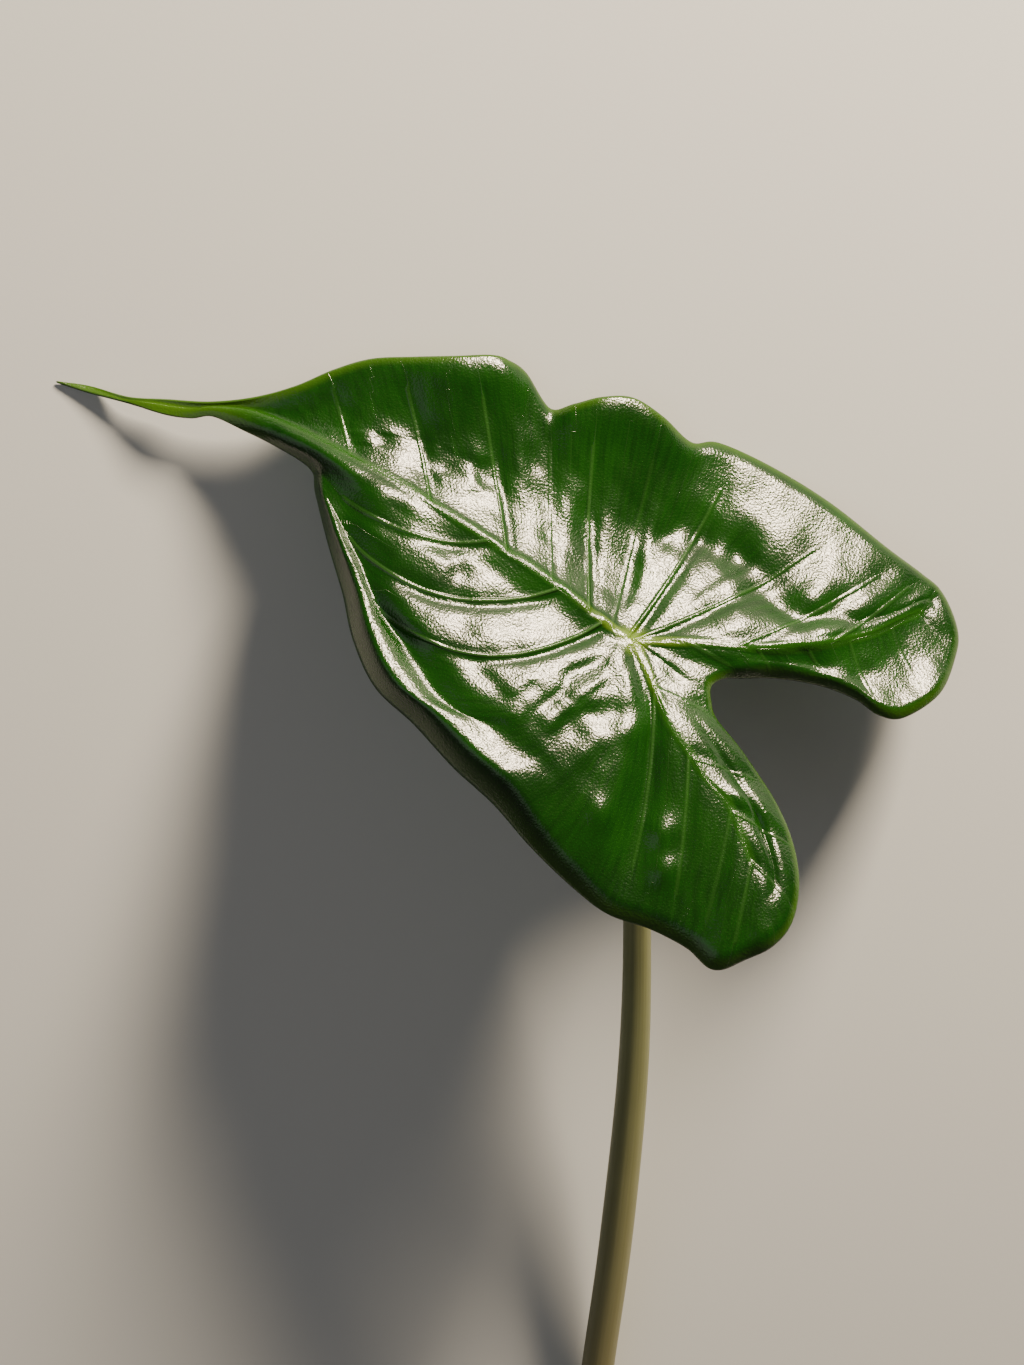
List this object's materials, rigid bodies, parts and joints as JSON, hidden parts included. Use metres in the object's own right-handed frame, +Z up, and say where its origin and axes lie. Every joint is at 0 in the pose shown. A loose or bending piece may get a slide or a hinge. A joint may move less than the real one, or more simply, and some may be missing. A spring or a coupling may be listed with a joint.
{
  "type": "alocasia leaf",
  "caption": "Tailed arrow-shaped leaf with raised ribs, a waved margin and two back lobes, cut with its long round petiole and laid down for a vase, bouquet or wreath.",
  "frame": {"origin": "centre of the bounding box, at the surface the leaf lies on", "axes": "+Z up from the surface; the petiole points to -Y from under the blade; the blade's tail points to -X and its back lobes to +X"},
  "size_m": [0.2038, 0.2776, 0.072],
  "materials": {
    "leaf_blade": "deep glossy green leaf tissue with paler ribs",
    "petiole": "smooth satin olive stalk"
  },
  "bodies": {
    "root": {"leaf_blade": "leaf_blade", "petiole": "petiole"}
  },
  "joints": []
}
